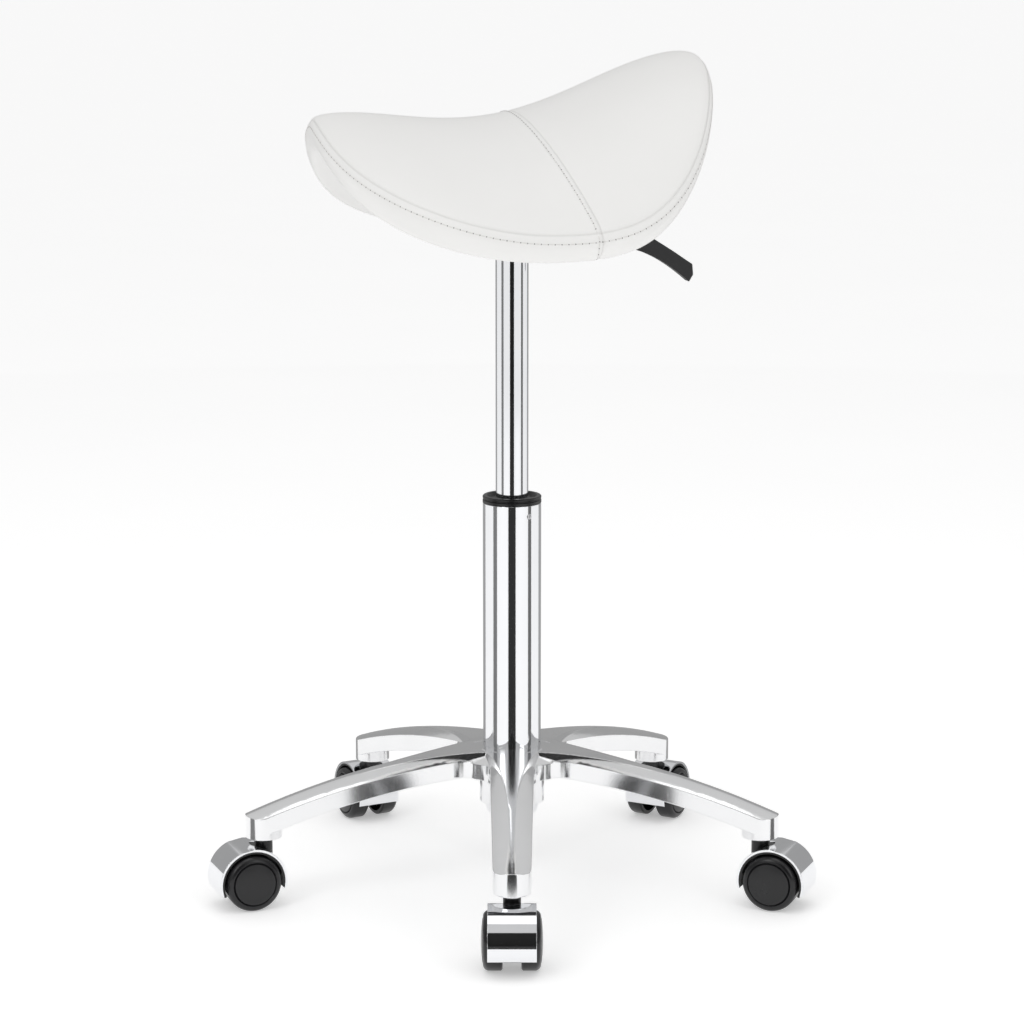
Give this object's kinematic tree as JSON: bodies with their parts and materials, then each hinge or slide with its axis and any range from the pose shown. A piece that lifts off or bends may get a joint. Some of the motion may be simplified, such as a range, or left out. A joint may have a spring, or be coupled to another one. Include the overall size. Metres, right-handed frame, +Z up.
{
  "type": "saddle stool",
  "caption": "Height-adjustable saddle stool: curved padded seat on a gas lift with release lever, over a polished star base with hooded twin-wheel casters.",
  "frame": {"origin": "on the floor, under the axis of the gas lift column", "axes": "+Z up, -Y towards the seat's front (its low nose), +X towards the sitter's left side"},
  "size_m": [0.5161, 0.5071, 0.7168],
  "materials": {
    "polished_aluminium": "mirror-polished die casting",
    "chrome_plate": "bright chrome plate",
    "black_plastic": "satin moulded plastic",
    "wheel_nylon": "satin nylon",
    "bright_steel": "zinc plated",
    "black_paint": "black powder coat",
    "black_rubber": "matte",
    "moulded_board": "moulded black board",
    "white_upholstery": "soft white synthetic leather",
    "dust_cloth": "thin non-woven cloth"
  },
  "bodies": {
    "root": {"star_base": "polished_aluminium", "column_tube": "chrome_plate", "guide_bush": "black_plastic", "bush_rivet": "bright_steel", "lower_race": "bright_steel", "ball_cage": "bright_steel", "grip_rings": "bright_steel"},
    "rod": {"upper_race": "bright_steel", "thrust_washer": "bright_steel", "rubber_buffer": "black_rubber", "piston_rod": "bright_steel", "rod_clip": "bright_steel", "piston": "bright_steel", "piston_seal": "black_rubber"},
    "seat": {"pressure_tube": "chrome_plate", "rod_gland": "black_plastic", "valve_body": "bright_steel", "mounting_plate": "black_paint", "cone_socket": "black_paint", "lever_pin": "bright_steel", "plate_washers": "bright_steel", "plate_bolts": "bright_steel", "tee_nuts": "bright_steel", "seat_board": "moulded_board", "seat_cushion": "white_upholstery", "dust_cover": "dust_cloth"},
    "lever": {"lever_rod": "bright_steel", "lever_handle": "black_plastic"},
    "release_pin": {"release_pin": "bright_steel"},
    "caster1": {"caster1_stem": "bright_steel", "caster1_housing": "black_plastic", "caster1_hood": "chrome_plate", "caster1_axle": "bright_steel"},
    "caster1_wheel_left": {"caster1_wheel_left": "wheel_nylon"},
    "caster1_wheel_right": {"caster1_wheel_right": "wheel_nylon"},
    "caster2": {"caster2_stem": "bright_steel", "caster2_housing": "black_plastic", "caster2_hood": "chrome_plate", "caster2_axle": "bright_steel"},
    "caster2_wheel_left": {"caster2_wheel_left": "wheel_nylon"},
    "caster2_wheel_right": {"caster2_wheel_right": "wheel_nylon"},
    "caster3": {"caster3_stem": "bright_steel", "caster3_housing": "black_plastic", "caster3_hood": "chrome_plate", "caster3_axle": "bright_steel"},
    "caster3_wheel_left": {"caster3_wheel_left": "wheel_nylon"},
    "caster3_wheel_right": {"caster3_wheel_right": "wheel_nylon"},
    "caster4": {"caster4_stem": "bright_steel", "caster4_housing": "black_plastic", "caster4_hood": "chrome_plate", "caster4_axle": "bright_steel"},
    "caster4_wheel_left": {"caster4_wheel_left": "wheel_nylon"},
    "caster4_wheel_right": {"caster4_wheel_right": "wheel_nylon"},
    "caster5": {"caster5_stem": "bright_steel", "caster5_housing": "black_plastic", "caster5_hood": "chrome_plate", "caster5_axle": "bright_steel"},
    "caster5_wheel_left": {"caster5_wheel_left": "wheel_nylon"},
    "caster5_wheel_right": {"caster5_wheel_right": "wheel_nylon"}
  },
  "joints": [
    {"name": "seat_swivel", "type": "hinge", "parent": "root", "child": "rod", "pos_m": [0, 0, 0], "axis": [0, 0, 1], "continuous": true},
    {"name": "seat_height", "type": "slide", "parent": "rod", "child": "seat", "axis": [0, 0, 1], "range_m": [-0.19, 0]},
    {"name": "lever_pull", "type": "hinge", "parent": "seat", "child": "lever", "pos_m": [0, 0.034, 0.598], "axis": [1, 0, 0], "range_deg": [0, 5], "stiffness_Nm_per_rad": 8, "springref_deg": -2.86},
    {"name": "release_push", "type": "slide", "parent": "seat", "child": "release_pin", "axis": [0, 0, 1], "range_m": [-0.003, 0]},
    {"name": "caster1_swivel", "type": "hinge", "parent": "root", "child": "caster1", "pos_m": [0.21674, -0.04805, 0], "axis": [0, 0, 1], "continuous": true},
    {"name": "caster1_roll_left", "type": "hinge", "parent": "caster1", "child": "caster1_wheel_left", "pos_m": [0.23138, -0.0513, 0.024], "axis": [0.2164, 0.9763, 0], "continuous": true},
    {"name": "caster1_roll_right", "type": "hinge", "parent": "caster1", "child": "caster1_wheel_right", "pos_m": [0.23138, -0.0513, 0.024], "axis": [0.2164, 0.9763, 0], "continuous": true},
    {"name": "caster2_swivel", "type": "hinge", "parent": "root", "child": "caster2", "pos_m": [0.11267, 0.19128, 0], "axis": [0, 0, 1], "continuous": true},
    {"name": "caster2_roll_left", "type": "hinge", "parent": "caster2", "child": "caster2_wheel_left", "pos_m": [0.12117, 0.20364, 0.024], "axis": [-0.8241, 0.5664, 0], "continuous": true},
    {"name": "caster2_roll_right", "type": "hinge", "parent": "caster2", "child": "caster2_wheel_right", "pos_m": [0.12117, 0.20364, 0.024], "axis": [-0.8241, 0.5664, 0], "continuous": true},
    {"name": "caster3_swivel", "type": "hinge", "parent": "root", "child": "caster3", "pos_m": [-0.1471, 0.16627, 0], "axis": [0, 0, 1], "continuous": true},
    {"name": "caster3_roll_left", "type": "hinge", "parent": "caster3", "child": "caster3_wheel_left", "pos_m": [-0.15851, 0.17601, 0.024], "axis": [-0.6494, -0.7604, 0], "continuous": true},
    {"name": "caster3_roll_right", "type": "hinge", "parent": "caster3", "child": "caster3_wheel_right", "pos_m": [-0.15851, 0.17601, 0.024], "axis": [-0.6494, -0.7604, 0], "continuous": true},
    {"name": "caster4_swivel", "type": "hinge", "parent": "root", "child": "caster4", "pos_m": [-0.20359, -0.08852, 0], "axis": [0, 0, 1], "continuous": true},
    {"name": "caster4_roll_left", "type": "hinge", "parent": "caster4", "child": "caster4_wheel_left", "pos_m": [-0.21804, -0.09253, 0.024], "axis": [0.2672, -0.9636, 0], "continuous": true},
    {"name": "caster4_roll_right", "type": "hinge", "parent": "caster4", "child": "caster4_wheel_right", "pos_m": [-0.21804, -0.09253, 0.024], "axis": [0.2672, -0.9636, 0], "continuous": true},
    {"name": "caster5_swivel", "type": "hinge", "parent": "root", "child": "caster5", "pos_m": [0.02128, -0.22098, 0], "axis": [0, 0, 1], "continuous": true},
    {"name": "caster5_roll_left", "type": "hinge", "parent": "caster5", "child": "caster5_wheel_left", "pos_m": [0.02375, -0.23577, 0.024], "axis": [0.9863, 0.165, 0], "continuous": true},
    {"name": "caster5_roll_right", "type": "hinge", "parent": "caster5", "child": "caster5_wheel_right", "pos_m": [0.02375, -0.23577, 0.024], "axis": [0.9863, 0.165, 0], "continuous": true}
  ],
  "couplings": [
    {"joint": "release_push", "follows": "lever_pull", "m_per_rad": -0.0342}
  ]
}
